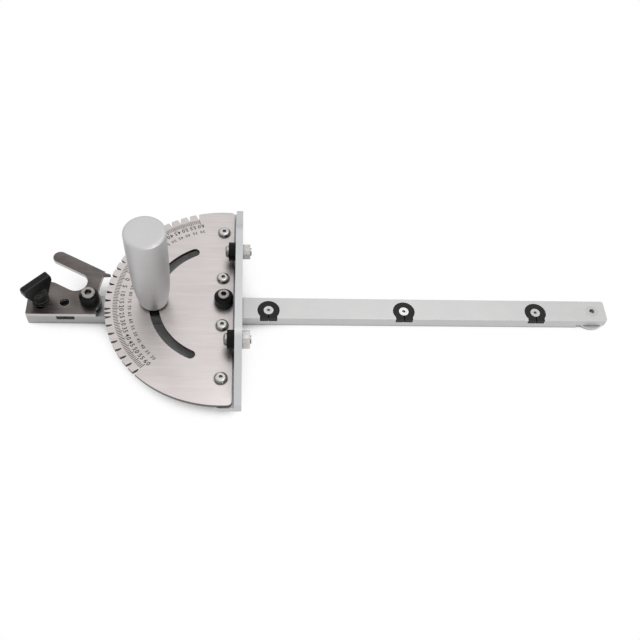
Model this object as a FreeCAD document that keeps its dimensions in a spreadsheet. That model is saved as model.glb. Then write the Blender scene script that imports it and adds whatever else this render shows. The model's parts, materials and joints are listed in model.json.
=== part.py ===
import FreeCAD, Part
import math
import os
import re
import Sketcher
from FreeCAD import Placement, Rotation, Vector

# Sizes in millimetres and angles in degrees.
# The frame: X runs along the guide bar to its long end, Z is up, and the
# origin lies on the head's pivot axis at the underside of the bar.
SIZES = {
    # running gaps: between flat faces, in bores, and between curved faces
    "face_gap": 0.1,
    "bore_gap": 0.05,
    "free_gap": 0.3,
    # guide bar, which fits a standard miter slot
    "bar_width": 19.0,
    "bar_height": 9.5,
    "bar_tail_margin": 11.7,
    "bar_reach": 303.5,
    "bar_corner": 2.0,
    # glide washers let into the bar
    "glide_radius": 8.3,
    "glide_depth": 3.8,
    "glide_tab_width": 12.8,
    "glide_tab_proud": 0.2,
    "glide_offset": 2.0,
    "glide_split": 0.8,
    "glide_front_x": 34.2,
    "glide_end_margin": 57.9,
    "glide_screw_head": 3.7,
    "glide_screw_radius": 2.0,
    "glide_screw_key": 2.5,
    # wide washer under the far end
    "relief_gap": 0.7,
    "relief_height": 3.0,
    "end_washer_radius": 12.0,
    "end_washer_thick": 2.4,
    "end_washer_inset": 11.0,
    "end_screw_head": 5.7,
    "end_screw_radius": 3.0,
    "end_screw_key": 4.0,
    # swivel bushes and their socket screws
    "sleeve_radius": 4.6,
    "collar_radius": 7.2,
    "collar_height": 8.4,
    "collar_cone": 1.6,
    "pivot_screw_radius": 2.5,
    "pivot_screw_head": 4.25,
    "pivot_screw_height": 5.0,
    "pivot_screw_key": 4.0,
    "lever_screw_radius": 3.0,
    "lever_screw_head": 5.0,
    "lever_screw_height": 6.0,
    "lever_screw_key": 5.0,
    "swivel_head_proud": 2.2,
    "swivel_head_bevel": 0.5,
    "swivel_key_depth": 3.0,
    # screw ends stop this far above the bar's underside
    "screw_end_gap": 0.5,
    # protractor plate
    "plate_radius": 89.0,
    "plate_edge_x": 7.1,
    "plate_thick": 3.0,
    "plate_corner": 3.0,
    "arc_slot_radius": 52.6,
    "arc_slot_width": 7.2,
    "arc_slot_half_angle": 63.5,
    "index_angle": 15.0,
    "notch_range": 60.0,
    "notch_step": 5.0,
    "notch_extra": 22.5,
    "notch_depth": 4.5,
    "notch_mouth": 2.6,
    "notch_root": 0.8,
    # fence bracket, an angle with an upright wall
    "head_gap": 0.3,
    "flange_left": 5.9,
    "flange_thick": 4.5,
    "flange_corner": 5.0,
    "bracket_overhang": 0.9,
    "wall_face_x": 14.1,
    "wall_thick": 5.3,
    "wall_end_height": 19.0,
    "wall_top": 50.0,
    "wall_slope_run": 40.9,
    "wall_break_radius": 14.0,
    "wall_end_radius": 3.0,
    # button-head screws of the plate
    "plate_screw_x": 0.9,
    "plate_screw_inner": 21.8,
    "plate_screw_inset": 22.6,
    "plate_screw_radius": 2.5,
    "plate_screw_head": 5.0,
    "plate_screw_dome": 2.8,
    "plate_screw_key": 3.0,
    # bolts for a wooden fence
    "fence_bolt_y": 40.5,
    "fence_bolt_z": 27.5,
    "fence_bolt_radius": 3.0,
    "fence_bolt_head": 4.75,
    "fence_bolt_dome": 2.7,
    "fence_bolt_key": 4.0,
    "fence_bolt_proud": 1.0,
    "fence_spacer_radius": 7.2,
    "fence_spacer_length": 5.6,
    "nut_length": 13.0,
    "nut_width": 10.0,
    "nut_thick": 5.7,
    "nut_chamfer": 2.0,
    # clamp handle on its stud
    "stud_radius": 3.0,
    "support_radius": 8.0,
    "washer_radius": 9.0,
    "washer_thick": 1.0,
    "handle_height": 80.8,
    "handle_base_radius": 9.6,
    "handle_foot": 1.5,
    "handle_neck_radius": 10.6,
    "handle_waist_height": 29.7,
    "handle_waist_radius": 14.0,
    "handle_top_radius": 14.8,
    "handle_lower_arc": 150.0,
    "handle_upper_arc": 1200.0,
    "handle_round": 2.0,
    "handle_thread_depth": 24.0,
    # index lever, measured from its own pivot
    "lever_pivot_gap": 11.0,
    "lever_swing": 8.5,
    "lever_back_swing": 4.0,
    "lever_left": 45.7,
    "lever_front": 12.7,
    "lever_right": 5.5,
    "lever_boss": 8.6,
    "lever_rim_gap": 6.2,
    "lever_big_corner": 13.0,
    "lever_corner": 1.0,
    "arm_angle": 151.3,
    "arm_width": 10.4,
    "arm_length": 24.4,
    "arm_nose": 14.25,
    "arm_side_lead": 1.07,
    "gap_ahead": 15.94,
    "gap_radius": 8.35,
    "tooth_tip_gap": 2.0,
    "tooth_side_gap": 0.3,
    "tooth_swing_gap": 0.85,
    "tooth_root": 8.0,
    "key_hole_x": 18.5,
    "key_hole_y": 2.0,
    "key_hole_radius": 3.6,
    # lock knob of the lever
    "knob_arm": 36.0,
    "knob_spacer_radius": 6.0,
    "knob_hub_radius": 6.4,
    "knob_collar_height": 3.5,
    "knob_neck_radius": 5.9,
    "knob_hub_height": 12.0,
    "knob_hub_bevel": 1.6,
    "knob_height": 22.6,
    "knob_wing_start": 3.5,
    "knob_wing_foot": 5.6,
    "knob_wing_half": 11.6,
    "knob_wing_side": 6.0,
    "knob_wing_thick": 5.2,
    "knob_wing_round": 2.0,
    "knob_angle": 45.0,
    "knob_thread_depth": 9.0,
}

# Heights that several pieces share, worked out from the sizes.
FLANGE_BOTTOM = "(bar_height + head_gap)"
PLATE_BOTTOM = "(bar_height + head_gap + flange_thick)"
PLATE_TOP = "(bar_height + head_gap + flange_thick + plate_thick)"
SPACER_HEIGHT = "(head_gap + flange_thick - face_gap)"
WASHER_BOTTOM = f"({PLATE_TOP} + face_gap)"
# The wall stands at the flange's far edge and is bored for the fence bolts.
WALL_BACK_X = "(wall_face_x - wall_thick)"
# Along the bar, behind the head's pivot: the clamp stands in the plate's arc slot,
# the index lever's pivot just outside the rim, and its lock knob behind that.
CLAMP_X = "arc_slot_radius"
LEVER_X = "(plate_radius + lever_pivot_gap)"
KNOB_X = f"({LEVER_X} + knob_arm)"
BAR_TAIL = f"({KNOB_X} + bar_tail_margin)"
GLIDE_TAIL_X = f"({LEVER_X} + key_hole_x)"
BRACKET_HALF = "(plate_radius + bracket_overhang)"
WALL_FLAT_HALF = f"({BRACKET_HALF} - wall_slope_run)"
NOTCH_SLOPE = "((notch_mouth - notch_root) / 2 / notch_depth)"
ZERO_ANGLE = "(180 - index_angle)"
# The zero notch's mouth from the lever's pivot, turned back with the lever to rest,
# and from there the centre of the lever's finger gap.
MOUTH_X = f"({LEVER_X} - plate_radius * cos(index_angle))"
MOUTH_Y = "(plate_radius * sin(index_angle))"
MOUTH_REST_X = f"({MOUTH_X} * cos(lever_swing) - {MOUTH_Y} * sin(lever_swing))"
MOUTH_REST_Y = f"({MOUTH_X} * sin(lever_swing) + {MOUTH_Y} * cos(lever_swing))"
GAP_INWARD = "(gap_radius + arm_width - arm_side_lead)"
GAP_X = f"({MOUTH_REST_X} + gap_ahead * cos(arm_angle) - {GAP_INWARD} * sin(arm_angle))"
GAP_Y = f"({MOUTH_REST_Y} + gap_ahead * sin(arm_angle) + {GAP_INWARD} * cos(arm_angle))"

doc = FreeCAD.newDocument("miter_gauge")
sheet = doc.addObject("Spreadsheet::Sheet", "Sheet")
sheet.Label = "Sizes"
for row, (alias, size) in enumerate(SIZES.items(), start=1):
    sheet.set(f"A{row}", alias)
    sheet.set(f"B{row}", str(size))
    sheet.setAlias(f"B{row}", alias)
doc.recompute()


def value(text):
    """The number that an expression of the sheet's sizes gives."""
    return float(sheet.evalExpression(text))


def bound(text):
    """The expression with the sheet's name before each of its sizes."""
    return re.sub(r"[a-z_]+", lambda word: f"Sheet.{word[0]}" if word[0] in SIZES else word[0], text)


def origin_feature(body, role):
    return next(feature for feature in body.Origin.OriginFeatures if feature.Role == role)


def new_body(name, x="0", y="0", z="0", turn=None):
    """A sub-part in a frame of its own, placed in the gauge's frame."""
    body = doc.addObject("PartDesign::Body", name)
    body.Label = name
    if turn:
        body.Placement = Placement(Vector(0, 0, 0), turn)
    for axis, text in zip("xyz", (x, y, z)):
        body.setExpression(f"Placement.Base.{axis}", bound(text))
    return body


def new_sketch(body, name, plane="XY_Plane", offset="0"):
    """A sketch on one of the body's own planes, raised along its normal."""
    sketch = body.newObject("Sketcher::SketchObject", name)
    sketch.AttachmentSupport = [(origin_feature(body, plane), "")]
    sketch.MapMode = "FlatFace"
    sketch.setExpression("AttachmentOffset.Base.z", bound(offset))
    return sketch


def bind(sketch, constraint, text):
    index = sketch.addConstraint(constraint)
    sketch.setExpression(f"Constraints[{index}]", bound(text))


def place(sketch, shape, point, x, y):
    """Ties a point of a sketch's line or arc to a place in the sketch."""
    bind(sketch, Sketcher.Constraint("DistanceX", -1, 1, shape, point, value(x)), x)
    bind(sketch, Sketcher.Constraint("DistanceY", -1, 1, shape, point, value(y)), y)


def circle(sketch, x, y, radius):
    centre = Vector(value(x), value(y), 0)
    shape = sketch.addGeometry(Part.Circle(centre, Vector(0, 0, 1), value(radius)))
    place(sketch, shape, 3, x, y)
    bind(sketch, Sketcher.Constraint("Radius", shape, value(radius)), radius)


def arc_centre(start, end, radius, left):
    """The centre of an arc from start to end, on the left or right of its chord."""
    chord = end - start
    rise = math.sqrt(radius**2 - (chord.Length / 2) ** 2)
    side = Vector(-chord.y, chord.x, 0).normalize()
    return (start + end) * 0.5 + side * (rise if left else -rise)


def outline(sketch, corners, arcs=None):
    """A closed outline. arcs gives, by side, a radius and if the centre is on the left."""
    arcs = arcs or {}
    points = [Vector(value(x), value(y), 0) for x, y in corners]
    ends = []
    for side, start in enumerate(points):
        end = points[(side + 1) % len(points)]
        if side not in arcs:
            shape = sketch.addGeometry(Part.LineSegment(start, end))
            ends.append((shape, 1, 2))
            continue
        radius, left = arcs[side]
        centre = arc_centre(start, end, value(radius), left)
        first, last = (start, end) if left else (end, start)
        angles = [math.atan2(p.y - centre.y, p.x - centre.x) for p in (first, last)]
        ring = Part.Circle(centre, Vector(0, 0, 1), value(radius))
        shape = sketch.addGeometry(Part.ArcOfCircle(ring, *angles))
        ends.append((shape, 1, 2) if left else (shape, 2, 1))
        bind(sketch, Sketcher.Constraint("Radius", shape, value(radius)), radius)
    for side, (shape, start, end) in enumerate(ends):
        following, its_start, _ = ends[(side + 1) % len(ends)]
        sketch.addConstraint(Sketcher.Constraint("Coincident", shape, end, following, its_start))
        place(sketch, shape, start, *corners[side])


def rectangle(sketch, left, right, low, high):
    outline(sketch, [(left, low), (right, low), (right, high), (left, high)])


def hexagon(sketch, across):
    """A key's socket round the sketch's origin."""
    corner = f"{across} / sqrt(3)"
    outline(sketch, [(f"{corner} * cos({60 * k})", f"{corner} * sin({60 * k})") for k in range(6)])


def polar(radius, angle, across="0", centre_x="0"):
    """A place at a radius and angle round a centre, moved across that ray."""
    x = f"{centre_x} + ({radius}) * cos({angle}) - ({across}) * sin({angle})"
    y = f"({radius}) * sin({angle}) + ({across}) * cos({angle})"
    return x, y


def pad(body, sketch, length):
    """Adds the sketch's outline along its normal."""
    feature = body.newObject("PartDesign::Pad", f"{sketch.Name}_pad")
    feature.Profile = sketch
    feature.setExpression("Length", bound(length))
    sketch.Visibility = False
    return feature


def pocket(body, sketch, depth):
    """Cuts the sketch's outline against its normal, and makes sure that it cuts."""
    doc.recompute()
    before = body.Shape.Volume
    feature = body.newObject("PartDesign::Pocket", f"{sketch.Name}_pocket")
    feature.Profile = sketch
    feature.setExpression("Length", bound(depth))
    doc.recompute()
    if not body.Shape.Volume < before:
        raise ValueError(f"{sketch.Name} cuts nothing")
    return feature


def turned(body, name, corners, arcs=None):
    """A solid turned from a half section, given as radius and height."""
    sketch = new_sketch(body, name, "XZ_Plane")
    outline(sketch, corners, arcs)
    feature = body.newObject("PartDesign::Revolution", f"{name}_turned")
    feature.Profile = sketch
    feature.ReferenceAxis = (origin_feature(body, "Z_Axis"), [""])
    feature.Angle = 360
    return feature


def upright_edge(shape, x, y):
    """The name of the upright edge nearest to a place in the body's frame."""
    best = None
    for number, edge in enumerate(shape.Edges, start=1):
        start, end = edge.Vertexes[0].Point, edge.Vertexes[-1].Point
        if math.hypot(start.x - end.x, start.y - end.y) > 1e-4 or abs(start.z - end.z) < 1e-4:
            continue
        distance = math.hypot(start.x - x, start.y - y)
        if best is None or distance < best[0]:
            best = (distance, f"Edge{number}")
    return best[1]


def round_upright(body, name, places, radius):
    """Rounds the upright edges that stand nearest to the given places."""
    doc.recompute()
    tip = body.Tip
    edges = [upright_edge(tip.Shape, value(x), value(y)) for x, y in places]
    feature = body.newObject("PartDesign::Fillet", name)
    feature.Base = (tip, edges)
    feature.setExpression("Radius", bound(radius))
    return feature


def round_ring(body, name, radius, height, size):
    """Rounds the circular edge of a turned solid at a radius and height."""
    doc.recompute()
    tip = body.Tip
    rings = [
        f"Edge{number}"
        for number, edge in enumerate(tip.Shape.Edges, start=1)
        if isinstance(edge.Curve, Part.Circle)
        and abs(edge.Curve.Radius - value(radius)) < 1e-3
        and abs(edge.Curve.Center.z - value(height)) < 1e-3
    ]
    feature = body.newObject("PartDesign::Fillet", name)
    feature.Base = (tip, rings)
    feature.setExpression("Radius", bound(size))
    return feature


def key_socket(body, name, across, top, depth):
    """A hexagon socket sunk from the top of a turned screw."""
    sketch = new_sketch(body, f"{name}_key", offset=top)
    hexagon(sketch, across)
    pocket(body, sketch, depth)


def ring(name, x, y, z, inner, outer, height):
    """A plain washer, spacer or bush."""
    body = new_body(name, x, y, z)
    turned(body, f"{name}_section", [(inner, "0"), (outer, "0"), (outer, height), (inner, height)])
    return body


def glide_places():
    """Where the glide washers sit along the bar: one behind the pivot and three evenly before it."""
    pitch = "(bar_reach - glide_end_margin - glide_front_x) / 2"
    return [f"-{GLIDE_TAIL_X}"] + [f"(glide_front_x + {step} * {pitch})" for step in range(3)]


def make_guide_bar():
    bar = new_body("guide_bar")
    side = "bar_width / 2"
    blank = new_sketch(bar, "bar_outline")
    rectangle(blank, f"-{BAR_TAIL}", "bar_reach", f"-{side}", side)
    pad(bar, blank, "bar_height")
    end = "bar_reach - end_washer_inset"
    for k, x in enumerate(glide_places(), start=1):
        seat = new_sketch(bar, f"glide_seat_{k}", offset="bar_height")
        circle(seat, x, "-glide_offset", "glide_radius + free_gap")
        pocket(bar, seat, "glide_depth")
        mouth = new_sketch(bar, f"glide_mouth_{k}", offset="bar_height")
        half = "(glide_tab_width / 2 + free_gap)"
        rectangle(mouth, f"{x} - {half}", f"{x} + {half}", f"-{side} - 1", "-glide_offset")
        pocket(bar, mouth, "glide_depth")
    relief = new_sketch(bar, "end_relief", offset="relief_height")
    inner = f"{end} - end_washer_radius - relief_gap"
    rectangle(relief, inner, "bar_reach + 1", f"-{side} - 1", f"{side} + 1")
    pocket(bar, relief, "relief_height + 1")
    bores = new_sketch(bar, "bores", offset="bar_height")
    circle(bores, "0", "0", "pivot_screw_radius + bore_gap")
    circle(bores, f"-{LEVER_X}", "0", "lever_screw_radius + bore_gap")
    circle(bores, f"-{CLAMP_X}", "0", "stud_radius + bore_gap")
    circle(bores, f"-{KNOB_X}", "0", "stud_radius + bore_gap")
    circle(bores, end, "0", "end_screw_radius + bore_gap")
    for x in glide_places():
        circle(bores, x, "-glide_offset", "glide_screw_radius + bore_gap")
    pocket(bar, bores, "bar_height + 1")
    sink = new_sketch(bar, "end_sink", "XZ_Plane")
    reach = "(end_screw_head + bore_gap)"
    drop = "(end_screw_head - end_screw_radius)"
    narrow = "(end_screw_radius + bore_gap)"
    corners = [
        (end, "bar_height + 1"),
        (end, f"bar_height - {drop}"),
        (f"{end} + {narrow}", f"bar_height - {drop}"),
        (f"{end} + {reach}", "bar_height"),
        (f"{end} + {reach}", "bar_height + 1"),
    ]
    outline(sink, corners)
    foot = Vector(value(end), 0, 0)
    head = Vector(value(end), value("bar_height"), 0)
    line = sink.addGeometry(Part.LineSegment(foot, head), True)
    place(sink, line, 1, end, "0")
    place(sink, line, 2, end, "bar_height")
    doc.recompute()
    before = bar.Shape.Volume
    groove = bar.newObject("PartDesign::Groove", "end_sink_groove")
    groove.Profile = sink
    groove.ReferenceAxis = (sink, ["Axis0"])
    groove.Angle = 360
    doc.recompute()
    if not bar.Shape.Volume < before:
        raise ValueError("the sink of the end screw cuts nothing")
    corners = [(x, y) for x in (f"-{BAR_TAIL}", "bar_reach") for y in (f"-{side}", side)]
    round_upright(bar, "bar_corners", corners, "bar_corner")


def make_glide_washer(number, x):
    """A split disc that the flat-head screw spreads against the slot's wall."""
    name = f"glide_washer_{number}"
    washer = new_body(name, x, "-glide_offset", "bar_height - glide_depth")
    disc = new_sketch(washer, f"{name}_disc")
    circle(disc, "0", "0", "glide_radius")
    pad(washer, disc, "glide_depth")
    tab = new_sketch(washer, f"{name}_tab")
    front = "-(bar_width / 2 - glide_offset + glide_tab_proud)"
    rectangle(tab, "-glide_tab_width / 2", "glide_tab_width / 2", front, "0")
    pad(washer, tab, "glide_depth")
    flat = new_sketch(washer, f"{name}_front", offset="glide_depth")
    rectangle(flat, "-glide_radius - 1", "glide_radius + 1", "-glide_radius - 1", front)
    pocket(washer, flat, "glide_depth + 1")
    split = new_sketch(washer, f"{name}_split", offset="glide_depth")
    rectangle(split, "-glide_split / 2", "glide_split / 2", f"{front} - 1", "0")
    pocket(washer, split, "glide_depth + 1")
    bore = new_sketch(washer, f"{name}_bore", offset="glide_depth")
    circle(bore, "0", "0", "glide_screw_radius + bore_gap")
    pocket(washer, bore, "glide_depth + 1")
    sink = new_sketch(washer, f"{name}_sink", "XZ_Plane")
    drop = "(glide_screw_head - glide_screw_radius)"
    corners = [
        ("0", f"glide_depth - {drop}"),
        ("glide_screw_radius + bore_gap", f"glide_depth - {drop}"),
        ("glide_screw_head + bore_gap", "glide_depth"),
        ("0", "glide_depth"),
    ]
    outline(sink, corners)
    groove = washer.newObject("PartDesign::Groove", f"{name}_groove")
    groove.Profile = sink
    groove.ReferenceAxis = (origin_feature(washer, "Z_Axis"), [""])
    groove.Angle = 360


def flat_head_screw(name, x, y, head, shank, key, top, bottom):
    """A countersunk screw, flush with the face that it holds."""
    screw = new_body(name, x, y)
    drop = f"({head} - {shank})"
    corners = [("0", bottom), (shank, bottom), (shank, f"{top} - {drop}"), (head, top), ("0", top)]
    turned(screw, f"{name}_section", corners)
    key_socket(screw, name, key, top, f"{drop} * 0.8")


def make_end_washer():
    x = "bar_reach - end_washer_inset"
    low = "relief_height - end_washer_thick"
    ring("end_washer", x, "0", low, "end_screw_radius + bore_gap", "end_washer_radius", "end_washer_thick")
    flat_head_screw(
        "end_screw", x, "0", "end_screw_head", "end_screw_radius", "end_screw_key", "bar_height", low
    )


def make_swivel(kind, x):
    """A black shouldered bush, held on the bar by a socket screw sunk in its collar."""
    bush = new_body(f"{kind}_bush", x, "0", "bar_height")
    step = f"({WASHER_BOTTOM} - bar_height)"
    top = f"({step} + collar_height)"
    shank = f"{kind}_screw_radius"
    head = f"{kind}_screw_head"
    bore = f"({shank} + bore_gap)"
    sink = f"({head} + bore_gap)"
    seat = f"({top} + swivel_head_proud - {kind}_screw_height)"
    corners = [
        (bore, "0"),
        ("sleeve_radius", "0"),
        ("sleeve_radius", step),
        ("collar_radius", step),
        ("collar_radius", f"{top} - collar_cone"),
        ("collar_radius - collar_cone", top),
        (sink, top),
        (sink, seat),
        (bore, seat),
    ]
    turned(bush, f"{kind}_bush_section", corners)
    screw = new_body(f"{kind}_screw", x)
    under = f"(bar_height + {seat})"
    head_top = f"({under} + {kind}_screw_height)"
    corners = [
        ("0", "screw_end_gap"),
        (shank, "screw_end_gap"),
        (shank, under),
        (head, under),
        (head, f"{head_top} - swivel_head_bevel"),
        (f"{head} - swivel_head_bevel", head_top),
        ("0", head_top),
    ]
    turned(screw, f"{kind}_screw_section", corners)
    key_socket(screw, f"{kind}_screw", f"{kind}_screw_key", head_top, "swivel_key_depth")


def make_stud(name, x, base, reach):
    """A headless stud, screwed into the bar and standing up into its handle or knob."""
    stud = new_body(name, x)
    top = f"({base} + {reach})"
    corners = [
        ("0", "screw_end_gap"),
        ("stud_radius", "screw_end_gap"),
        ("stud_radius", f"{top} - 0.8"),
        ("stud_radius - 0.8", top),
        ("0", top),
    ]
    turned(stud, f"{name}_section", corners)


def arc_slot(body, name, radius, width, first, last, top, depth):
    """A slot along an arc round the body's origin, with round ends."""
    outer = f"({radius} + {width} / 2)"
    inner = f"({radius} - {width} / 2)"
    corners = [polar(outer, first), polar(outer, last), polar(inner, last), polar(inner, first)]
    track = new_sketch(body, f"{name}_track", offset=top)
    outline(track, corners, {0: (outer, True), 2: (inner, False)})
    pocket(body, track, depth)
    ends = new_sketch(body, f"{name}_ends", offset=top)
    for angle in (first, last):
        circle(ends, *polar(radius, angle), f"{width} / 2")
    pocket(body, ends, depth)


def notch(plate, name, offset):
    """One V notch in the rim, at an angle from the zero notch."""
    angle = f"({ZERO_ANGLE} - {offset})"
    root = "(plate_radius - notch_depth)"
    over = 1
    half_root = "notch_root / 2"
    half_mouth = f"({half_root} + (notch_depth + {over}) * {NOTCH_SLOPE})"
    sketch = new_sketch(plate, name, offset="plate_thick")
    corners = [
        polar(root, angle, f"-{half_root}"),
        polar(f"plate_radius + {over}", angle, f"-{half_mouth}"),
        polar(f"plate_radius + {over}", angle, half_mouth),
        polar(root, angle, half_root),
    ]
    outline(sketch, corners)
    return pocket(plate, sketch, "plate_thick + 1")


def around(body, feature, name, angle, count):
    """Repeats a cut round the plate's centre."""
    pattern = body.newObject("PartDesign::PolarPattern", name)
    pattern.Originals = [feature]
    pattern.Axis = (origin_feature(body, "Z_Axis"), [""])
    pattern.setExpression("Angle", bound(angle))
    pattern.setExpression("Occurrences", bound(count))
    body.Tip = pattern
    doc.recompute()


def plate_screw_places():
    outer = f"({BRACKET_HALF} - plate_screw_inset)"
    return [f"{side}{place}" for place in ("plate_screw_inner", outer) for side in ("-", "")]


def make_protractor_plate():
    plate = new_body("protractor_plate", z=PLATE_BOTTOM)
    blank = new_sketch(plate, "plate_disc")
    circle(blank, "0", "0", "plate_radius")
    pad(plate, blank, "plate_thick")
    beyond = new_sketch(plate, "plate_straight_edge", offset="plate_thick")
    rectangle(beyond, "plate_edge_x", "plate_radius + 1", "-plate_radius - 1", "plate_radius + 1")
    pocket(plate, beyond, "plate_thick + 1")
    arc_slot(
        plate, "clamp_slot", "arc_slot_radius", "arc_slot_width",
        "(180 - arc_slot_half_angle)", "(180 + arc_slot_half_angle)", "plate_thick", "plate_thick + 1",
    )
    holes = new_sketch(plate, "plate_holes", offset="plate_thick")
    circle(holes, "0", "0", "sleeve_radius + bore_gap")
    for y in plate_screw_places():
        circle(holes, "-plate_screw_x", y, "plate_screw_radius + bore_gap")
    pocket(plate, holes, "plate_thick + 1")
    corner_y = "sqrt(plate_radius * plate_radius - plate_edge_x * plate_edge_x)"
    corners = [("plate_edge_x", f"-{corner_y}"), ("plate_edge_x", corner_y)]
    round_upright(plate, "plate_corners", corners, "plate_corner")
    first = notch(plate, "first_notch", "notch_range")
    around(plate, first, "notches", "2 * notch_range", "2 * notch_range / notch_step + 1")
    extra = notch(plate, "extra_notch", "notch_extra")
    around(plate, extra, "extra_notches", "2 * notch_extra", "2")


def make_fence_bracket():
    bracket = new_body("fence_bracket")
    flange = new_sketch(bracket, "flange_outline", offset=FLANGE_BOTTOM)
    rectangle(flange, "-flange_left", "wall_face_x", f"-{BRACKET_HALF}", BRACKET_HALF)
    pad(bracket, flange, "flange_thick")
    corners = [("-flange_left", f"{side}{BRACKET_HALF}") for side in ("-", "")]
    round_upright(bracket, "flange_corners", corners, "flange_corner")
    wall = new_sketch(bracket, "wall_outline", "YZ_Plane", WALL_BACK_X)
    corners = [
        (f"-{BRACKET_HALF}", FLANGE_BOTTOM),
        (BRACKET_HALF, FLANGE_BOTTOM),
        (BRACKET_HALF, "wall_end_height"),
        (WALL_FLAT_HALF, "wall_top"),
        (f"-{WALL_FLAT_HALF}", "wall_top"),
        (f"-{BRACKET_HALF}", "wall_end_height"),
    ]
    outline(wall, corners)
    pad(bracket, wall, "wall_thick")
    round_wall(bracket, "wall_breaks", WALL_FLAT_HALF, "wall_top", "wall_break_radius")
    round_wall(bracket, "wall_ends", BRACKET_HALF, "wall_end_height", "wall_end_radius")
    holes = new_sketch(bracket, "flange_holes", offset=PLATE_BOTTOM)
    circle(holes, "0", "0", "sleeve_radius + bore_gap")
    for y in plate_screw_places():
        circle(holes, "-plate_screw_x", y, "plate_screw_radius + bore_gap")
    pocket(bracket, holes, "flange_thick + 1")
    bolt_holes = new_sketch(bracket, "bolt_holes", "YZ_Plane", "wall_face_x")
    for side in ("-", ""):
        circle(bolt_holes, f"{side}fence_bolt_y", "fence_bolt_z", "fence_bolt_radius + bore_gap")
    pocket(bracket, bolt_holes, "wall_thick + 1")


def round_wall(bracket, name, y, z, radius):
    """Rounds the two edges that run through the wall at plus and minus y."""
    doc.recompute()
    tip = bracket.Tip
    edges = []
    for number, edge in enumerate(tip.Shape.Edges, start=1):
        start, end = edge.Vertexes[0].Point, edge.Vertexes[-1].Point
        across = abs(start.y - end.y) < 1e-4 and abs(start.z - end.z) < 1e-4
        if across and abs(abs(start.y) - value(y)) < 1e-3 and abs(start.z - value(z)) < 1e-3:
            edges.append(f"Edge{number}")
    feature = bracket.newObject("PartDesign::Fillet", name)
    feature.Base = (tip, edges)
    feature.setExpression("Radius", bound(radius))


def button_screw(name, place_at, turn, shank, head, dome, key, length):
    """A button-head screw along its own Z, its shank below the seat at zero."""
    screw = new_body(name, *place_at, turn=turn)
    crown = f"({head} * 0.55)"
    arc = f"(({dome} * {dome} + ({head} - {crown}) * ({head} - {crown})) / 2 / {dome})"
    end = f"-({length})"
    corners = [("0", end), (shank, end), (shank, "0"), (head, "0"), (crown, dome), ("0", dome)]
    turned(screw, f"{name}_section", corners, {3: (f"{arc} * 1.05", True)})
    key_socket(screw, name, key, dome, f"{dome} * 0.6")


def make_plate_screws():
    length = "plate_thick + flange_thick - 0.2"
    for k, y in enumerate(plate_screw_places(), start=1):
        button_screw(
            f"plate_screw_{k}", ("-plate_screw_x", y, PLATE_TOP), None,
            "plate_screw_radius", "plate_screw_head", "plate_screw_dome", "plate_screw_key", length,
        )


def make_fence_fixing(side_name, side, nut_height):
    """A bolt, spacer and slot nut that hold a wooden fence to the wall."""
    y = f"{side}fence_bolt_y"
    seat = f"({WALL_BACK_X} - fence_spacer_length)"
    face_back = Rotation(Vector(0, 1, 0), -90)
    length = "fence_spacer_length + wall_thick + nut_thick + fence_bolt_proud"
    button_screw(
        f"fence_bolt_{side_name}", (seat, y, "fence_bolt_z"), face_back,
        "fence_bolt_radius", "fence_bolt_head", "fence_bolt_dome", "fence_bolt_key", length,
    )
    spacer = new_body(f"fence_spacer_{side_name}", WALL_BACK_X, y, "fence_bolt_z", face_back)
    bore = "fence_bolt_radius + bore_gap"
    corners = [
        (bore, "0"),
        ("fence_spacer_radius", "0"),
        ("fence_spacer_radius", "fence_spacer_length"),
        (bore, "fence_spacer_length"),
    ]
    turned(spacer, f"fence_spacer_{side_name}_section", corners)
    nut = new_body(f"fence_nut_{side_name}", "wall_face_x", y, "fence_bolt_z")
    block = new_sketch(nut, f"fence_nut_{side_name}_block", "YZ_Plane")
    cut = "nut_chamfer"
    half_wide = "(nut_width / 2)"
    half_high = f"({nut_height} / 2)"
    corners = [
        (f"-{half_wide} + {cut}", f"-{half_high}"),
        (f"{half_wide} - {cut}", f"-{half_high}"),
        (half_wide, f"-{half_high} + {cut}"),
        (half_wide, f"{half_high} - {cut}"),
        (f"{half_wide} - {cut}", half_high),
        (f"-{half_wide} + {cut}", half_high),
        (f"-{half_wide}", f"{half_high} - {cut}"),
        (f"-{half_wide}", f"-{half_high} + {cut}"),
    ]
    outline(block, corners)
    circle(block, "0", "0", "fence_bolt_radius + bore_gap")
    pad(nut, block, "nut_thick")


def make_clamp_handle():
    base = f"({WASHER_BOTTOM} + washer_thick + face_gap)"
    handle = new_body("clamp_handle", f"-{CLAMP_X}", "0", base)
    corners = [
        ("0", "0"),
        ("handle_base_radius", "0"),
        ("handle_neck_radius", "handle_foot"),
        ("handle_waist_radius", "handle_waist_height"),
        ("handle_top_radius", "handle_height"),
        ("0", "handle_height"),
    ]
    arcs = {2: ("handle_lower_arc", True), 3: ("handle_upper_arc", True)}
    turned(handle, "handle_section", corners, arcs)
    round_ring(handle, "handle_top_round", "handle_top_radius", "handle_height", "handle_round")
    thread = new_sketch(handle, "handle_thread", offset="handle_thread_depth")
    circle(thread, "0", "0", "stud_radius + bore_gap")
    pocket(handle, thread, "handle_thread_depth + 1")
    make_stud("handle_stud", f"-{CLAMP_X}", base, "handle_thread_depth - 1")
    inner = "stud_radius + bore_gap"
    ring("handle_washer", f"-{CLAMP_X}", "0", WASHER_BOTTOM, inner, "washer_radius", "washer_thick")
    ring("support_spacer", f"-{CLAMP_X}", "0", "bar_height", inner, "support_radius", SPACER_HEIGHT)


def along_arm(forward, across):
    """A place in the lever's frame, along its arm from the finger gap's centre and across it."""
    x = f"{GAP_X} + ({forward}) * cos(arm_angle) + ({across}) * sin(arm_angle)"
    y = f"{GAP_Y} + ({forward}) * sin(arm_angle) - ({across}) * cos(arm_angle)"
    return x, y


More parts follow.
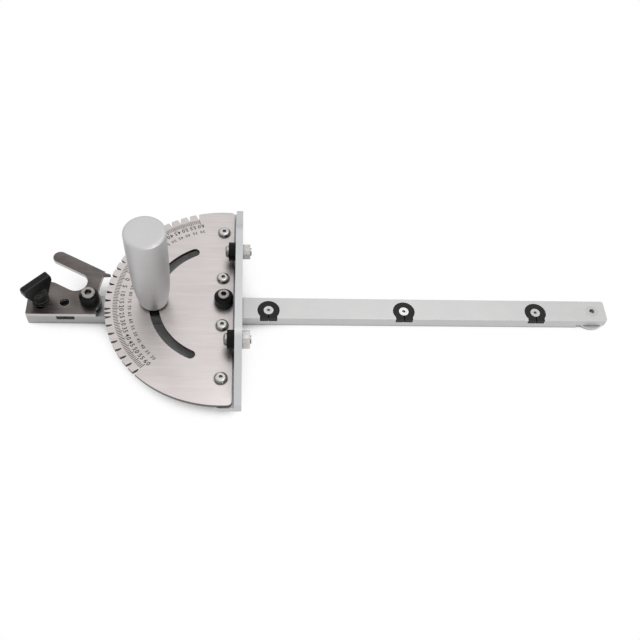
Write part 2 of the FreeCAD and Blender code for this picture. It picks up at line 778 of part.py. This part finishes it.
def make_index_lever():
    """A flat lever: a block over the bar, a hooked arm for a finger, and a tooth for the notches."""
    lever = new_body("index_lever", f"-{LEVER_X}", "0", PLATE_BOTTOM)
    arm_top = "gap_radius + arm_width"
    arm_middle = "gap_radius + arm_width / 2"
    lip_end = f"((gap_radius * sin(arm_angle) - lever_left - {GAP_X}) / cos(arm_angle))"
    big_corner = along_arm(lip_end, "-gap_radius")
    corners = [
        ("-lever_left", "-lever_front"),
        ("lever_right", "-lever_front"),
        along_arm("-arm_nose", arm_top),
        along_arm("0", arm_top),
        along_arm("0", "-gap_radius"),
        big_corner,
    ]
    block = new_sketch(lever, "lever_block")
    outline(block, corners)
    pad(lever, block, "plate_thick")
    arm = new_sketch(lever, "lever_arm")
    corners = [
        along_arm("-1", arm_top),
        along_arm("-1", "gap_radius"),
        along_arm("arm_length", "gap_radius"),
        along_arm("arm_length", arm_top),
    ]
    outline(arm, corners)
    pad(lever, arm, "plate_thick")
    tip = new_sketch(lever, "lever_arm_tip")
    circle(tip, *along_arm("arm_length", arm_middle), "arm_width / 2")
    pad(lever, tip, "plate_thick")
    gap = new_sketch(lever, "finger_gap", offset="plate_thick")
    circle(gap, GAP_X, GAP_Y, "gap_radius")
    pocket(lever, gap, "plate_thick + 1")
    corners = [("-lever_left", "-lever_front"), ("lever_right", "-lever_front")]
    round_upright(lever, "lever_corners", corners, "lever_corner")
    round_upright(lever, "lever_round_corner", [big_corner], "lever_big_corner")
    rim = new_sketch(lever, "lever_rim_side", offset="plate_thick")
    circle(rim, LEVER_X, "0", "plate_radius + lever_rim_gap")
    pocket(lever, rim, "plate_thick + 1")
    boss = new_sketch(lever, "lever_boss_disc")
    circle(boss, "0", "0", "lever_boss")
    pad(lever, boss, "plate_thick")
    add_tooth(lever)
    holes = new_sketch(lever, "lever_holes", offset="plate_thick")
    circle(holes, "0", "0", "sleeve_radius + bore_gap")
    circle(holes, "-key_hole_x", "-key_hole_y", "key_hole_radius")
    pocket(lever, holes, "plate_thick + 1")
    arc_slot(
        lever, "knob_slot", "knob_arm", "(2 * stud_radius + 2 * free_gap)",
        "(180 - lever_back_swing)", "(180 + lever_swing)", "plate_thick", "plate_thick + 1",
    )


def add_tooth(lever):
    """Draws the tooth as it sits in the zero notch, and turns it back with the lever to rest."""
    tooth = new_sketch(lever, "tooth")
    tooth.AttachmentOffset = Placement(Vector(0, 0, 0), Rotation(Vector(0, 0, 1), 1))
    tooth.setExpression("AttachmentOffset.Rotation.Angle", bound("lever_swing"))
    root = "(plate_radius - notch_depth)"
    tip = f"({root} + tooth_tip_gap)"
    base = "(plate_radius + tooth_root)"
    half_tip = f"(notch_root / 2 + tooth_tip_gap * {NOTCH_SLOPE})"
    half_base = f"(notch_root / 2 + (notch_depth + tooth_root) * {NOTCH_SLOPE})"
    corners = [
        polar(tip, ZERO_ANGLE, f"-({half_tip} - tooth_swing_gap)", LEVER_X),
        polar(base, ZERO_ANGLE, f"-({half_base} - tooth_swing_gap)", LEVER_X),
        polar(base, ZERO_ANGLE, f"{half_base} - tooth_side_gap", LEVER_X),
        polar(tip, ZERO_ANGLE, f"{half_tip} - tooth_side_gap", LEVER_X),
    ]
    outline(tooth, corners)
    pad(lever, tooth, "plate_thick")


def make_lock_knob():
    base = WASHER_BOTTOM
    knob = new_body("lock_knob", f"-{KNOB_X}", "0", base, Rotation(Vector(0, 0, 1), 1))
    knob.setExpression("Placement.Rotation.Angle", bound("knob_angle"))
    corners = [
        ("0", "0"),
        ("knob_hub_radius", "0"),
        ("knob_hub_radius", "knob_collar_height"),
        ("knob_neck_radius", "knob_collar_height"),
        ("knob_neck_radius", "knob_hub_height - knob_hub_bevel"),
        ("knob_neck_radius - knob_hub_bevel", "knob_hub_height"),
        ("0", "knob_hub_height"),
    ]
    turned(knob, "knob_hub", corners)
    wing = new_sketch(knob, "knob_wing", "XZ_Plane", "-knob_wing_thick / 2")
    corners = [
        ("-knob_wing_foot", "knob_wing_start"),
        ("knob_wing_foot", "knob_wing_start"),
        ("knob_wing_half", "knob_height - knob_wing_side"),
        ("knob_wing_half", "knob_height"),
        ("-knob_wing_half", "knob_height"),
        ("-knob_wing_half", "knob_height - knob_wing_side"),
    ]
    outline(wing, corners)
    pad(knob, wing, "knob_wing_thick")
    doc.recompute()
    tip = knob.Tip
    edges = [
        f"Edge{number}"
        for number, edge in enumerate(tip.Shape.Edges, start=1)
        if edge.BoundBox.ZMin > value("knob_height - knob_wing_side") - 1e-3
        and edge.BoundBox.YLength > value("knob_wing_thick") - 1e-3
    ]
    soften = knob.newObject("PartDesign::Fillet", "knob_wing_corners")
    soften.Base = (tip, edges)
    soften.setExpression("Radius", bound("knob_wing_round"))
    thread = new_sketch(knob, "knob_thread", offset="knob_thread_depth")
    circle(thread, "0", "0", "stud_radius + bore_gap")
    pocket(knob, thread, "knob_thread_depth + 1")
    make_stud("knob_stud", f"-{KNOB_X}", base, "knob_thread_depth - 1")
    inner = "stud_radius + bore_gap"
    ring("knob_spacer", f"-{KNOB_X}", "0", "bar_height", inner, "knob_spacer_radius", SPACER_HEIGHT)


def write_parts():
    """Checks every object and writes each sub-part to a file of its own."""
    doc.recompute()
    for thing in doc.Objects:
        if "Invalid" in thing.State or "Error" in thing.State:
            raise ValueError(f"{thing.Name} did not build: {thing.State}")
    os.makedirs("parts", exist_ok=True)
    for body in doc.findObjects("PartDesign::Body"):
        if body.Shape.isNull() or not body.Shape.isValid() or len(body.Shape.Solids) != 1:
            raise ValueError(f"{body.Label} is not one sound solid")
        body.Shape.exportStep(f"parts/{body.Label}.step")


make_guide_bar()
for number, place_x in enumerate(glide_places(), start=1):
    make_glide_washer(number, place_x)
    flat_head_screw(
        f"glide_screw_{number}", place_x, "-glide_offset", "glide_screw_head", "glide_screw_radius",
        "glide_screw_key", "bar_height", "screw_end_gap",
    )
make_end_washer()
make_swivel("pivot", "0")
make_swivel("lever", f"-{LEVER_X}")
ring(
    "lever_spacer", f"-{LEVER_X}", "0", "bar_height",
    "sleeve_radius + bore_gap", "collar_radius", SPACER_HEIGHT,
)
make_protractor_plate()
make_fence_bracket()
make_plate_screws()
make_fence_fixing("front", "-", "nut_length")
make_fence_fixing("back", "", "nut_width")
make_clamp_handle()
make_index_lever()
make_lock_knob()
write_parts()
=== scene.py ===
import json
import math
import bmesh
import bpy
from mathutils import Matrix, Vector


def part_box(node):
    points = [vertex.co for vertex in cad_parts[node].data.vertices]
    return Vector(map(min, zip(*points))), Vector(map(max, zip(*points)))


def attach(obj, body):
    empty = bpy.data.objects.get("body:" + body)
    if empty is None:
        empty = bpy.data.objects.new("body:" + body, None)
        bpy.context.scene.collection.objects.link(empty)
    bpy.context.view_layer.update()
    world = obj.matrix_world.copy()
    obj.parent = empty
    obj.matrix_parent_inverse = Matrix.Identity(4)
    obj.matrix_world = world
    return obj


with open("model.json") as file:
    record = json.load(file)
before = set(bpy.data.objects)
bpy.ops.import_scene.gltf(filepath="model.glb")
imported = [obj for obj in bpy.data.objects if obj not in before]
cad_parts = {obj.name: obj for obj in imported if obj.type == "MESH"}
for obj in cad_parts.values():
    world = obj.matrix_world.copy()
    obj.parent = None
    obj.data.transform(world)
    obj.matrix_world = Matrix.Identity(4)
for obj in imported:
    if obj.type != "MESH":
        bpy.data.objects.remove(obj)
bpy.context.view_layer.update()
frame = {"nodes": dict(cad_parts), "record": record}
NODES = frame["nodes"]
MM = 0.001
SCENE = bpy.context.scene

# The camera of the photograph, fitted to the bar's known section.
CAMERA_AZIMUTH = 9.21
CAMERA_ELEVATION = 55.93
CAMERA_ROLL = 8.16
CAMERA_DISTANCE = 666 * MM
CAMERA_TARGET = Vector((74.7, -4.4, 0.0)) * MM
CAMERA_LENS = 47.81
CAMERA_NEAR = 10 * MM
SENSOR = 36.0

# The protractor's scale: where its zero lies, its lines and its two rows of numbers.
INDEX_ANGLE = 15
SCALE_RANGE = 60
RIGHT_ANGLE = 90
NUMBER_STEP = 5
PLATE_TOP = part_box("protractor_plate")[1].z
PLATE_RADIUS = -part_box("protractor_plate")[0].x
PAINT_HEIGHT = PLATE_TOP + 0.03 * MM
LINES_RADIUS = PLATE_RADIUS - 5.9 * MM
LONG_LINE = 4.7 * MM
LONG_LINE_HALF_WIDTH = 0.27 * MM
SHORT_LINE = 3.6 * MM
SHORT_LINE_HALF_WIDTH = 0.23 * MM
OUTER_ROW_RADIUS = 76.6 * MM
OUTER_ROW_SIZE = 4.7 * MM
INNER_ROW_RADIUS = 70.8 * MM
INNER_ROW_SIZE = 3.5 * MM
DIGIT_SPACING = 1.25
DIGIT_BOLDNESS = 0.012
DIGIT_CURVE_STEPS = 3

# Shading. Most of a noise's values lie between these two.
NOISE_LOW = 0.3
NOISE_HIGH = 0.7
BEVEL_SAMPLES = 6
CORNER_SAMPLES = 8
FLOOR_SAMPLES = 12
KNURL_RIBS = 44
# How dark the painted shade at a metal's left end gets.
END_SHADE_LEVEL = 0.72

# The studio. A lamp has a name, a place, a target, a width and height, and a power in watts.
WORLD_LIGHT = 0.75
BACKDROP_HORIZON = (0.90, 0.90, 0.91)
BACKDROP_LEVELS = ((0.35, 0.92), (0.65, 0.96))
FLOOR_SIZE = 6
FLOOR_SHADOW_REACH = 50 * MM
LAMPS = (
    ("key", (0.35, 0.25, 1.2), (0.05, 0, 0), (0.9, 0.7), 2.5),
    ("left", (-0.9, 0.1, 0.8), (0, 0, 0.02), (0.7, 0.7), 0.1),
    ("front", (0.7, -0.85, 0.32), (-0.05, 0, 0.06), (0.8, 0.4), 4.0),
)


def new_material(name):
    """A new material, its node tree and its shader."""
    material = bpy.data.materials.new(name)
    material.use_nodes = True
    tree = material.node_tree
    return material, tree, tree.nodes["Principled BSDF"]


def coordinates(tree, kind="Object"):
    """Texture coordinates. Those of an object are the frame's."""
    return tree.nodes.new("ShaderNodeTexCoord").outputs[kind]


def along(tree, kind, axis):
    """One axis of the texture coordinates."""
    axes = tree.nodes.new("ShaderNodeSeparateXYZ")
    tree.links.new(coordinates(tree, kind), axes.inputs[0])
    return axes.outputs[axis]


def noise(tree, scale, stretch=(1, 1, 1), detail=3.0):
    """A noise texture, stretched along the frame's axes."""
    mapping = tree.nodes.new("ShaderNodeMapping")
    mapping.inputs["Scale"].default_value = stretch
    tree.links.new(coordinates(tree), mapping.inputs["Vector"])
    texture = tree.nodes.new("ShaderNodeTexNoise")
    texture.inputs["Scale"].default_value = scale
    texture.inputs["Detail"].default_value = detail
    tree.links.new(mapping.outputs["Vector"], texture.inputs["Vector"])
    return texture.outputs["Fac"]


def calculate(tree, operation, one, other=None):
    """One step of arithmetic on a factor. The other term may be a factor or a plain number."""
    step = tree.nodes.new("ShaderNodeMath")
    step.operation = operation
    tree.links.new(one, step.inputs[0])
    if isinstance(other, float):
        step.inputs[1].default_value = other
    elif other is not None:
        tree.links.new(other, step.inputs[1])
    return step.outputs[0]


def weighted_sum(tree, *terms):
    """Adds up factors, each times its share."""
    total = None
    for factor, share in terms:
        part = calculate(tree, "MULTIPLY", factor, share)
        if total is None:
            total = part
        else:
            total = calculate(tree, "ADD", total, part)
    return total


def spread(tree, factor, low, high, first=NOISE_LOW, last=NOISE_HIGH):
    """Maps a factor's range from first to last onto the range from low to high."""
    span = tree.nodes.new("ShaderNodeMapRange")
    span.inputs["From Min"].default_value = first
    span.inputs["From Max"].default_value = last
    span.inputs["To Min"].default_value = low
    span.inputs["To Max"].default_value = high
    tree.links.new(factor, span.inputs["Value"])
    return span.outputs["Result"]


def tint(tree, factor, dark, light, first=NOISE_LOW, last=NOISE_HIGH):
    """A colour between two, by a factor."""
    ramp = tree.nodes.new("ShaderNodeValToRGB")
    ramp.color_ramp.elements[0].position = first
    ramp.color_ramp.elements[0].color = (*dark, 1)
    ramp.color_ramp.elements[1].position = last
    ramp.color_ramp.elements[1].color = (*light, 1)
    tree.links.new(factor, ramp.inputs["Fac"])
    return ramp.outputs["Color"]


def blend(tree, factor, one, other):
    """Mixes two colours by a factor. The second may be a plain colour."""
    mix = tree.nodes.new("ShaderNodeMix")
    mix.data_type = "RGBA"
    factor_in, one_in, other_in = mix.inputs[0], mix.inputs[6], mix.inputs[7]
    tree.links.new(factor, factor_in)
    tree.links.new(one, one_in)
    if isinstance(other, tuple):
        other_in.default_value = (*other, 1)
    else:
        tree.links.new(other, other_in)
    return mix.outputs[2]


def scaled(tree, colour, level):
    """A colour made darker by a factor."""
    shade = tree.nodes.new("ShaderNodeVectorMath")
    shade.operation = "SCALE"
    tree.links.new(colour, shade.inputs[0])
    tree.links.new(level, shade.inputs["Scale"])
    return shade.outputs[0]


def mix_shaders(tree, factor, one, other, output):
    """Sends the mix of two shaders to the tree's output node."""
    mix = tree.nodes.new("ShaderNodeMixShader")
    tree.links.new(factor, mix.inputs[0])
    tree.links.new(one.outputs[0], mix.inputs[1])
    tree.links.new(other.outputs[0], mix.inputs[2])
    tree.links.new(mix.outputs[0], tree.nodes[output].inputs["Surface"])


def worn_edges(tree, radius, first=0.02, last=0.35):
    """How near a sharp edge the surface is, where a painted highlight goes."""
    rounded = tree.nodes.new("ShaderNodeBevel")
    rounded.samples = BEVEL_SAMPLES
    rounded.inputs["Radius"].default_value = radius
    flat = tree.nodes.new("ShaderNodeNewGeometry")
    alike = tree.nodes.new("ShaderNodeVectorMath")
    alike.operation = "DOT_PRODUCT"
    tree.links.new(rounded.outputs["Normal"], alike.inputs[0])
    tree.links.new(flat.outputs["Normal"], alike.inputs[1])
    turned = calculate(tree, "SUBTRACT", alike.outputs["Value"], 1.0)
    return spread(tree, calculate(tree, "ABSOLUTE", turned), 0.0, 1.0, first, last)


def openness(tree, reach, samples):
    """How open the surface lies, from 0 in a recess to 1 in the open."""
    shelter = tree.nodes.new("ShaderNodeAmbientOcclusion")
    shelter.samples = samples
    shelter.inputs["Distance"].default_value = reach
    return shelter.outputs["AO"]


def grime(tree, colour, reach, corner_shade, first=0.35, last=0.85):
    """Darkens a colour in recesses and corners as painted shade, by ambient occlusion."""
    unshaded = openness(tree, reach, CORNER_SAMPLES)
    return scaled(tree, colour, spread(tree, unshaded, corner_shade, 1.0, first, last))


def facing(tree, axis):
    """How far the surface faces along an axis, up or down it."""
    return calculate(tree, "ABSOLUTE", along(tree, "Normal", axis))


def flat_share(tree):
    """1 on the flat faces above and below, and 0 on upright sides."""
    return spread(tree, facing(tree, "Z"), 0.0, 1.0, 0.4, 0.8)


def finish_surface(tree, shader, colour, grain, rough, depth, metallic=1.0):
    """Connects a colour, and lets a grain vary the roughness and raise the surface."""
    bump = tree.nodes.new("ShaderNodeBump")
    bump.inputs["Strength"].default_value = 1.0
    bump.inputs["Distance"].default_value = depth
    tree.links.new(grain, bump.inputs["Height"])
    tree.links.new(bump.outputs["Normal"], shader.inputs["Normal"])
    tree.links.new(colour, shader.inputs["Base Color"])
    tree.links.new(spread(tree, grain, *rough), shader.inputs["Roughness"])
    shader.inputs["Metallic"].default_value = metallic


def metal(
    name, dark, light, rough, grain=2600, stretch=(1, 1, 1), depth=0.01 * MM, patches=60,
    edge=None, corner_shade=0.35, end_shade_span=None, slope_shade=None,
):
    """A metal with a grain, faint broad patches, an uneven roughness and painted shade in its
    corners.

    edge is the colour of a painted highlight along its edges, and corner_shade is how dark the
    painted shade in its corners gets. end_shade_span gives two places along X: before the first
    the metal is painted darker as shade, and past the second it isn't. slope_shade is how dark
    the painted shade on the sloping side of a screw's head gets, where its crown ends."""
    material, tree, shader = new_material(name)
    fine = noise(tree, grain, stretch, detail=2.0)
    broad = noise(tree, patches, detail=4.0)
    mixed = weighted_sum(tree, (fine, 0.55), (broad, 0.45))
    colour = tint(tree, mixed, dark, light)
    # Painted highlight: the edges take a lighter colour.
    if edge:
        colour = blend(tree, worn_edges(tree, 0.4 * MM), colour, edge)
    # Painted shade: corners and recesses are darkened by ambient occlusion.
    colour = grime(tree, colour, 2.5 * MM, corner_shade)
    # Painted shade: a screw head's sloping sides are darkened by how they face.
    if slope_shade:
        crown = calculate(tree, "MAXIMUM", facing(tree, "X"), facing(tree, "Z"))
        colour = scaled(tree, colour, spread(tree, crown, slope_shade, 1.0, 0.74, 0.96))
    # Painted shade: the metal is darker towards its left end along X.
    if end_shade_span:
        end_shade = spread(tree, along(tree, "Object", "X"), END_SHADE_LEVEL, 1.0, *end_shade_span)
        colour = scaled(tree, colour, end_shade)
    finish_surface(tree, shader, colour, fine, rough, depth)
    return material


def plate_metal():
    """Stainless sheet brushed along the bar, a little warm, with its upright cut sides painted
    dark as shade and painted shade in its corners.
    """
    material, tree, shader = new_material("plate_steel")
    streak = noise(tree, 3600, stretch=(0.014, 1, 1))
    band = noise(tree, 260, stretch=(0.08, 1, 1))
    cloud = noise(tree, 22)
    mixed = weighted_sum(tree, (streak, 0.5), (band, 0.2), (cloud, 0.3))
    face = tint(tree, mixed, (0.52, 0.48, 0.472), (0.655, 0.612, 0.605), 0.36, 0.64)
    # Painted shade: the dark colour of the upright cut sides.
    cut = tint(tree, mixed, (0.10, 0.094, 0.09), (0.17, 0.16, 0.155), 0.36, 0.64)
    colour = blend(tree, flat_share(tree), cut, face)
    # Painted shade in corners and recesses.
    colour = grime(tree, colour, 3 * MM, corner_shade=0.45)
    finish_surface(tree, shader, colour, streak, rough=(0.30, 0.42), depth=0.004 * MM)
    return material


def lever_metal():
    """Dark brushed steel on the faces, and bright metal where the outline was cut, made lighter
    as a painted highlight, which is also painted along the edges.
    """
    material, tree, shader = new_material("lever_steel")
    streak = noise(tree, 2800, stretch=(0.03, 1, 1))
    cloud = noise(tree, 60)
    mixed = weighted_sum(tree, (streak, 0.4), (cloud, 0.6))
    face = tint(tree, mixed, (0.10, 0.088, 0.083), (0.18, 0.16, 0.152), 0.35, 0.65)
    # The cut sides' bright metal, lightened as a painted highlight.
    cut = tint(tree, streak, (0.40, 0.39, 0.38), (0.56, 0.55, 0.54))
    colour = blend(tree, flat_share(tree), cut, face)
    # Painted highlight: the light colour along the edges.
    colour = blend(tree, worn_edges(tree, 0.5 * MM, 0.01, 0.2), colour, cut)
    finish_surface(tree, shader, colour, streak, rough=(0.26, 0.38), depth=0.006 * MM)
    return material


def socket_metal(node):
    """Darker steel for a socket head screw, with a knurled side round the screw's own axis."""
    material, tree, shader = new_material("socket_steel_" + node)
    low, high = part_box(node)
    centred = tree.nodes.new("ShaderNodeMapping")
    centred.inputs["Location"].default_value = (-(low.x + high.x) / 2, -(low.y + high.y) / 2, 0)
    tree.links.new(coordinates(tree), centred.inputs["Vector"])
    turn = tree.nodes.new("ShaderNodeTexGradient")
    turn.gradient_type = "RADIAL"
    tree.links.new(centred.outputs["Vector"], turn.inputs["Vector"])
    ribs = calculate(tree, "MULTIPLY", turn.outputs["Fac"], 2 * math.pi * KNURL_RIBS)
    wave = spread(tree, calculate(tree, "SINE", ribs), 0.0, 1.0, -1.0, 1.0)
    speck = noise(tree, 2600)
    face = tint(tree, speck, (0.27, 0.255, 0.24), (0.40, 0.38, 0.365))
    side = tint(tree, wave, (0.05, 0.048, 0.046), (0.42, 0.40, 0.385), 0.1, 0.9)
    colour = blend(tree, flat_share(tree), side, face)
    # Painted shade: the socket and corners are darkened by ambient occlusion.
    colour = grime(tree, colour, 3 * MM, corner_shade=0.12, first=0.3, last=0.8)
    finish_surface(tree, shader, colour, speck, rough=(0.26, 0.38), depth=0.02 * MM)
    return material


def handle_metal():
    """Satin metal with fine rings left by turning."""
    material, tree, shader = new_material("turned_handle")
    rings = noise(tree, 1500, stretch=(0.02, 0.02, 1), detail=2.0)
    speck = noise(tree, 3200, detail=2.0)
    mixed = weighted_sum(tree, (rings, 0.5), (speck, 0.5))
    colour = tint(tree, mixed, (0.545, 0.538, 0.540), (0.605, 0.598, 0.600), 0.35, 0.65)
    finish_surface(tree, shader, colour, mixed, rough=(0.50, 0.60), depth=0.01 * MM)
    return material


def black_finish(name, dark, light, rough, gloss, grain=1800, depth=0.02 * MM, edge=None):
    """A moulded plastic or a black finish, with a fine grain and, where an edge colour is given,
    a paler painted highlight along its edges.
    """
    material, tree, shader = new_material(name)
    fine = noise(tree, grain)
    broad = noise(tree, 130)
    mixed = weighted_sum(tree, (fine, 0.6), (broad, 0.4))
    colour = tint(tree, mixed, dark, light)
    if edge:
        # Painted highlight: the edges take a paler colour.
        colour = blend(tree, worn_edges(tree, 1.4 * MM, 0.004, 0.10), colour, edge)
    finish_surface(tree, shader, colour, fine, rough, depth, metallic=0.0)
    shader.inputs["Specular IOR Level"].default_value = gloss
    return material


def grey(level, warm=0.0):
    """A near grey, warmer for a warm above 0 and cooler below."""
    return (level * (1 + warm), level, level * (1 - warm))


# The metals' edge colours are painted highlights. Their corners get painted shade, the screws'
# sloping sides too, and the bar is painted darker at its left end as shade.
MATERIALS = {
    "anodised_bar": metal(
        "anodised_bar", grey(0.505, 0.002), grey(0.55, 0.002), rough=(0.40, 0.50),
        grain=1800, stretch=(0.08, 1, 1), depth=0.006 * MM, edge=grey(0.80), end_shade_span=(-0.10, -0.05),
    ),
    "anodised_bracket": metal(
        "anodised_bracket", grey(0.515, -0.012), grey(0.565, -0.012), rough=(0.40, 0.50),
        grain=2400, edge=grey(0.80), corner_shade=0.7,
    ),
    "turned_handle": handle_metal(),
    "plate_steel": plate_metal(),
    "lever_steel": lever_metal(),
    "glide_plastic": black_finish(
        "glide_plastic", grey(0.006), grey(0.012), rough=(0.42, 0.55), gloss=0.25,
    ),
    "knob_plastic": black_finish(
        "knob_plastic", grey(0.003), grey(0.009), rough=(0.28, 0.40), gloss=0.2,
        grain=900, depth=0.06 * MM, edge=grey(0.05),
    ),
    "black_steel": black_finish(
        "black_steel", grey(0.002), grey(0.005), rough=(0.30, 0.42), gloss=0.15,
    ),
    "washer_steel": metal("washer_steel", grey(0.46), grey(0.60), rough=(0.24, 0.36), corner_shade=0.6),
    "nut_steel": metal(
        "nut_steel", grey(0.38, 0.03), grey(0.68, 0.03), rough=(0.22, 0.34),
        grain=900, depth=0.03 * MM, patches=300,
    ),
    "screw_steel": metal(
        "screw_steel", grey(0.50, 0.02), grey(0.62, 0.02), rough=(0.14, 0.22),
        edge=grey(0.90), corner_shade=0.55, slope_shade=0.36,
    ),
}
SOCKET_SCREWS = ("pivot_screw", "lever_screw")


def dress(obj, material):
    """Gives an object its one material."""
    slots = obj.material_slots
    if slots:
        for slot in slots:
            slot.material = material
    else:
        obj.data.materials.append(material)


def dress_nodes():
    """Each node of the frame takes the material of its slot in the record.

    The two socket screws take one of their own, because it turns round the screw's axis."""
    for part in frame["record"]["subparts"]:
        dress(NODES[part["node"]], MATERIALS[part["material_slot"]])
    for node in SOCKET_SCREWS:
        dress(NODES[node], socket_metal(node))


def mesh_piece(name, bm, body, slot):
    """Makes a mesh into a piece that rides on a body."""
    mesh = bpy.data.meshes.new(name)
    bm.to_mesh(mesh)
    bm.free()
    piece = bpy.data.objects.new(name, mesh)
    SCENE.collection.objects.link(piece)
    dress(piece, MATERIALS[slot])
    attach(piece, body)


def scale_angle(degree):
    """Where a degree of the scale lies, as an angle round the pivot."""
    return math.pi - math.radians(INDEX_ANGLE) + math.radians(degree)


def scale_point(angle, radius):
    """A point of the scale, just above the plate."""
    return Vector((radius * math.cos(angle), radius * math.sin(angle), PAINT_HEIGHT))


def tick_marks():
    """The scale's engraved lines, one for every degree, filled with dark paint."""
    bm = bmesh.new()
    for degree in range(-SCALE_RANGE, SCALE_RANGE + 1):
        if degree % NUMBER_STEP == 0:
            length, half_width = LONG_LINE, LONG_LINE_HALF_WIDTH
        else:
            length, half_width = SHORT_LINE, SHORT_LINE_HALF_WIDTH
        angle = scale_angle(degree)
        side = Vector((-math.sin(angle), math.cos(angle), 0)) * half_width
        low = scale_point(angle, LINES_RADIUS - length)
        high = scale_point(angle, LINES_RADIUS)
        corners = (low - side, high - side, high + side, low + side)
        bm.faces.new([bm.verts.new(corner) for corner in corners])
    mesh_piece("scale_lines", bm, "head", "black_steel")


def digits(text, size):
    """A flat mesh of a number, centred on the origin."""
    curve = bpy.data.curves.new("digits", "FONT")
    curve.body = text
    curve.size = size
    curve.align_x = "CENTER"
    curve.align_y = "CENTER"
    curve.resolution_u = DIGIT_CURVE_STEPS
    curve.space_character = DIGIT_SPACING
    curve.offset = size * DIGIT_BOLDNESS
    holder = bpy.data.objects.new("digits", curve)
    SCENE.collection.objects.link(holder)
    bpy.context.view_layer.update()
    evaluated = holder.evaluated_get(bpy.context.evaluated_depsgraph_get())
    mesh = bpy.data.meshes.new_from_object(evaluated)
    bpy.data.objects.remove(holder)
    bpy.data.curves.remove(curve)
    return mesh


def numbers():
    """The angle at every fifth degree, and inside it the angle from the other side."""
    bm = bmesh.new()
    for degree in range(-SCALE_RANGE, SCALE_RANGE + 1, NUMBER_STEP):
        angle = scale_angle(degree)
        rows = (
            (OUTER_ROW_RADIUS, OUTER_ROW_SIZE, abs(degree)),
            (INNER_ROW_RADIUS, INNER_ROW_SIZE, RIGHT_ANGLE - abs(degree)),
        )
        for radius, size, number in rows:
            mesh = digits(str(number), size)
            turn = Matrix.Rotation(angle + math.pi / 2, 4, "Z")
            mesh.transform(Matrix.Translation(scale_point(angle, radius)) @ turn)
            bm.from_mesh(mesh)
            bpy.data.meshes.remove(mesh)
    mesh_piece("scale_numbers", bm, "head", "black_steel")


def make_camera():
    """The camera at the photograph's place, turned about its own axis as the photograph is."""
    azimuth = math.radians(CAMERA_AZIMUTH)
    elevation = math.radians(CAMERA_ELEVATION)
    roll = math.radians(CAMERA_ROLL)
    flat = math.cos(elevation)
    ahead = Vector((math.sin(azimuth) * flat, math.cos(azimuth) * flat, -math.sin(elevation)))
    level = Vector((math.cos(azimuth), -math.sin(azimuth), 0))
    above = level.cross(ahead)
    right = level * math.cos(roll) + above * math.sin(roll)
    up = above * math.cos(roll) - level * math.sin(roll)
    data = bpy.data.cameras.new("camera")
    data.lens = CAMERA_LENS
    data.sensor_width = SENSOR
    data.clip_start = CAMERA_NEAR
    camera = bpy.data.objects.new("camera", data)
    turn = Matrix((right, up, -ahead)).transposed().to_4x4()
    camera.matrix_world = Matrix.Translation(CAMERA_TARGET - ahead * CAMERA_DISTANCE) @ turn
    SCENE.collection.objects.link(camera)
    SCENE.camera = camera


def make_lamp(name, place, target, size, power):
    """A soft rectangular lamp that points at a target."""
    data = bpy.data.lights.new(name, "AREA")
    data.shape = "RECTANGLE"
    data.size, data.size_y = size
    data.energy = power
    light = bpy.data.objects.new(name, data)
    light.location = place
    aim = Vector(target) - Vector(place)
    light.rotation_euler = aim.to_track_quat("-Z", "Y").to_euler()
    SCENE.collection.objects.link(light)


def seen_rays(tree):
    """1 for the rays that show the background: the camera's, reflected and transmitted ones."""
    path = tree.nodes.new("ShaderNodeLightPath").outputs
    seen = calculate(tree, "MAXIMUM", path["Is Camera Ray"], path["Is Glossy Ray"])
    return calculate(tree, "MAXIMUM", seen, path["Is Transmission Ray"])


def make_world():
    """A white studio, a little greyer towards the horizon and less bright as a light."""
    world = bpy.data.worlds.new("studio")
    SCENE.world = world
    world.use_nodes = True
    tree = world.node_tree
    light = tree.nodes["Background"]
    light.inputs["Color"].default_value = (1, 1, 1, 1)
    light.inputs["Strength"].default_value = WORLD_LIGHT
    height = tree.nodes.new("ShaderNodeValToRGB")
    ramp = height.color_ramp
    for spot, level in BACKDROP_LEVELS:
        ramp.elements.new(spot).color = (level, level, level, 1)
    ramp.elements[0].color = (*BACKDROP_HORIZON, 1)
    ramp.elements[-1].color = (1, 1, 1, 1)
    tree.links.new(along(tree, "Generated", "Z"), height.inputs["Fac"])
    backdrop = tree.nodes.new("ShaderNodeBackground")
    backdrop.inputs["Strength"].default_value = 1.0
    tree.links.new(height.outputs["Color"], backdrop.inputs["Color"])
    mix_shaders(tree, seen_rays(tree), light, backdrop, "World Output")


def make_floor():
    """A pale floor: white in the open, with painted shadow where the object shades it, darker by
    ambient occlusion.
    """
    bpy.ops.mesh.primitive_plane_add(size=FLOOR_SIZE, location=(0, 0, 0))
    floor = bpy.context.object
    floor.name = "floor"
    material, tree, shader = new_material("floor")
    sky = openness(tree, FLOOR_SHADOW_REACH, FLOOR_SAMPLES)
    # Painted shadow: the floor's colour darkens with occlusion.
    shaded = tint(tree, sky, grey(0.14), grey(0.90), 0.14, 0.45)
    tree.links.new(shaded, shader.inputs["Base Color"])
    shader.inputs["Roughness"].default_value = 0.9
    glow = tree.nodes.new("ShaderNodeEmission")
    glow.inputs["Strength"].default_value = 1.0
    lit = spread(tree, sky, 0.0, 1.0, 0.27, 0.54)
    shown = calculate(tree, "MULTIPLY", lit, seen_rays(tree))
    mix_shaders(tree, shown, shader, glow, "Material Output")
    floor.data.materials.append(material)


dress_nodes()
tick_marks()
numbers()
make_camera()
make_world()
make_floor()
for row in LAMPS:
    make_lamp(*row)
SCENE.view_settings.view_transform = "Standard"
